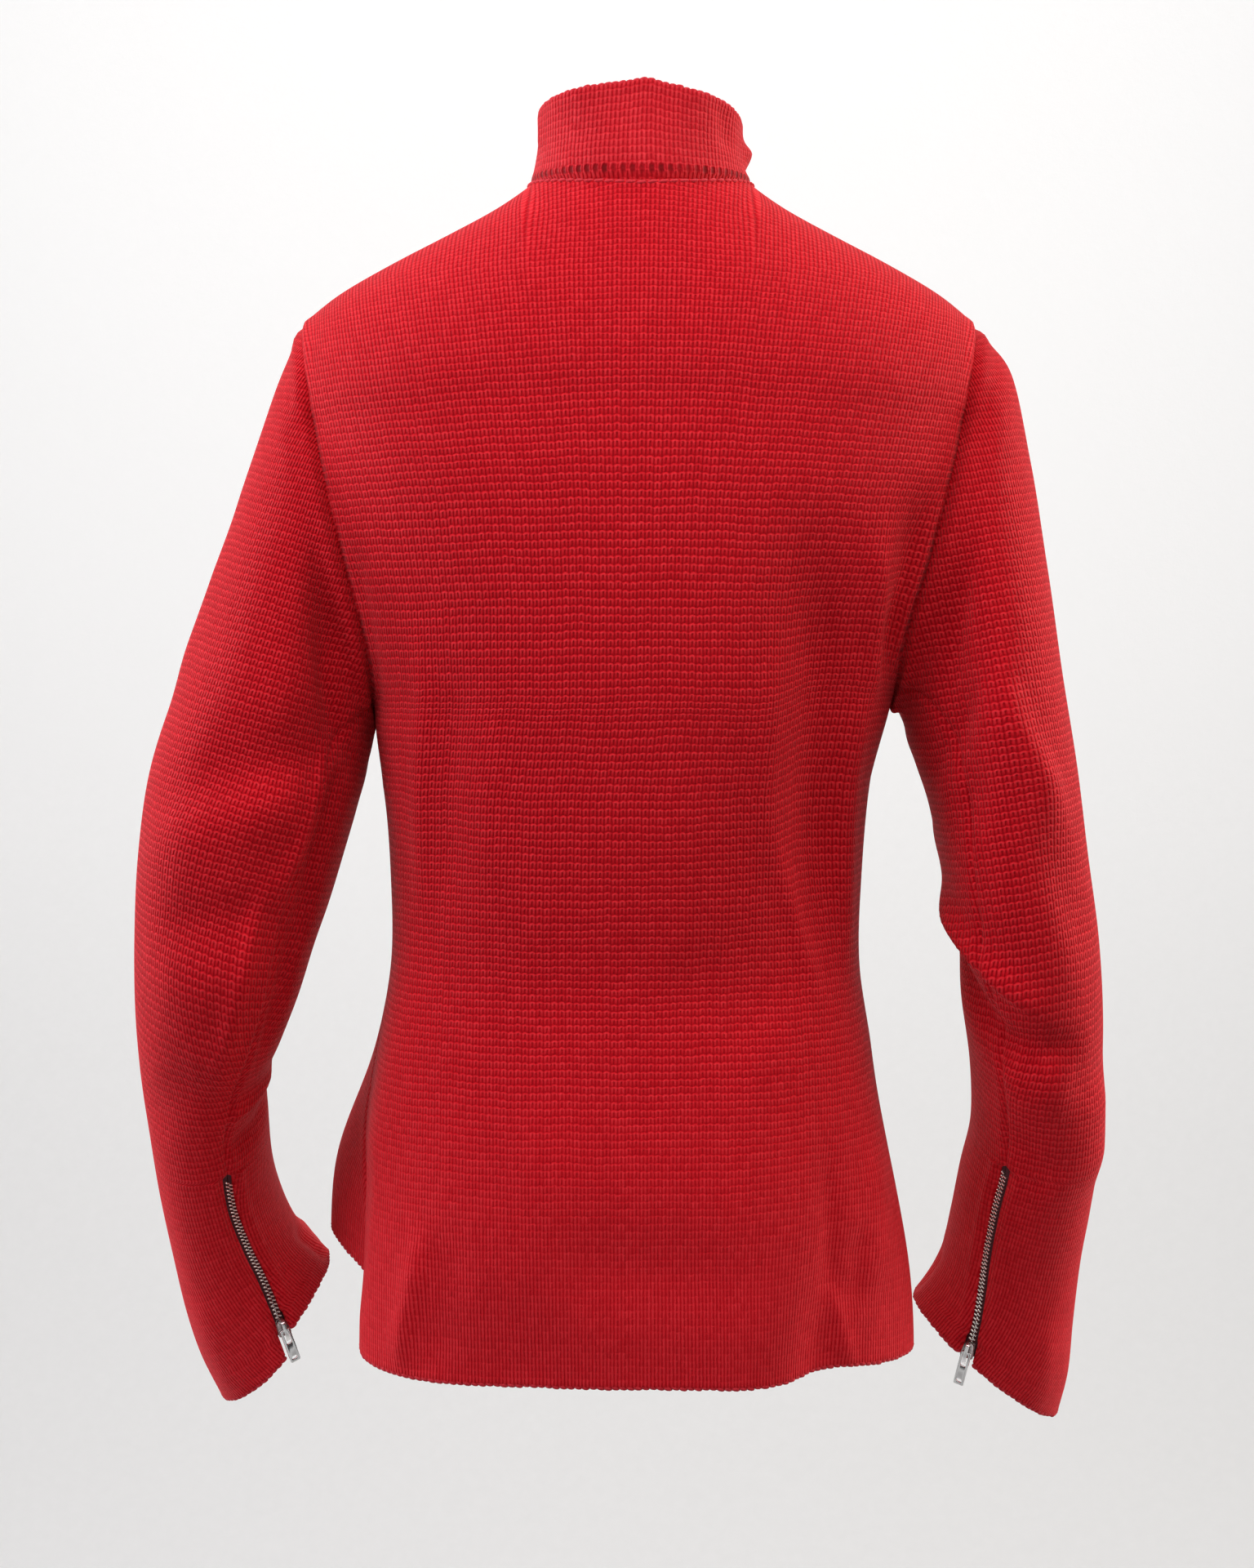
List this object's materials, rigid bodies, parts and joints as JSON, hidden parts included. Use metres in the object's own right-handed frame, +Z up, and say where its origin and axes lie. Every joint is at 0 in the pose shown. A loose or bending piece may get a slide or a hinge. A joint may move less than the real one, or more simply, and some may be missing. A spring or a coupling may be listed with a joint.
{
  "type": "sweater",
  "caption": "Thick red knitted sweater with a stand collar, a plain waved hem and a metal zip in the back seam of each long cuff, held open as worn.",
  "frame": {"origin": "the middle of the neck at the level of the neck seam, inside the open collar", "axes": "+Z up from hem to neck; the garment's front faces -Y and its back faces +Y; the wearer's left is +X"},
  "size_m": [0.5565, 0.24, 0.7715],
  "materials": {
    "red_knit": "soft matt knitted wool with a fine haze of fibre",
    "zip_tape": "dark woven tape",
    "dark_steel": "smoky nickel, satin",
    "bright_chrome": "polished"
  },
  "bodies": {
    "garment": {"back_panel": "red_knit", "front_panel": "red_knit", "collar": "red_knit", "sleeve_left": "red_knit", "sleeve_right": "red_knit", "tape_left_a": "zip_tape", "tape_left_b": "zip_tape", "tape_right_a": "zip_tape", "tape_right_b": "zip_tape", "teeth_left": "dark_steel", "teeth_right": "dark_steel", "slider_left": "dark_steel", "slider_right": "dark_steel"},
    "pull_left": {"pull_left": "bright_chrome"},
    "pull_right": {"pull_right": "bright_chrome"}
  },
  "joints": [
    {"name": "pull_left_swing", "type": "hinge", "parent": "garment", "child": "pull_left", "pos_m": [0.20721, -0.01745, -0.65926], "axis": [0.8254, 0.4559, -0.3329], "range_deg": [0, 165]},
    {"name": "pull_right_swing", "type": "hinge", "parent": "garment", "child": "pull_right", "pos_m": [-0.18967, -0.01796, -0.67259], "axis": [0.8612, -0.4378, 0.258], "range_deg": [0, 164]}
  ]
}
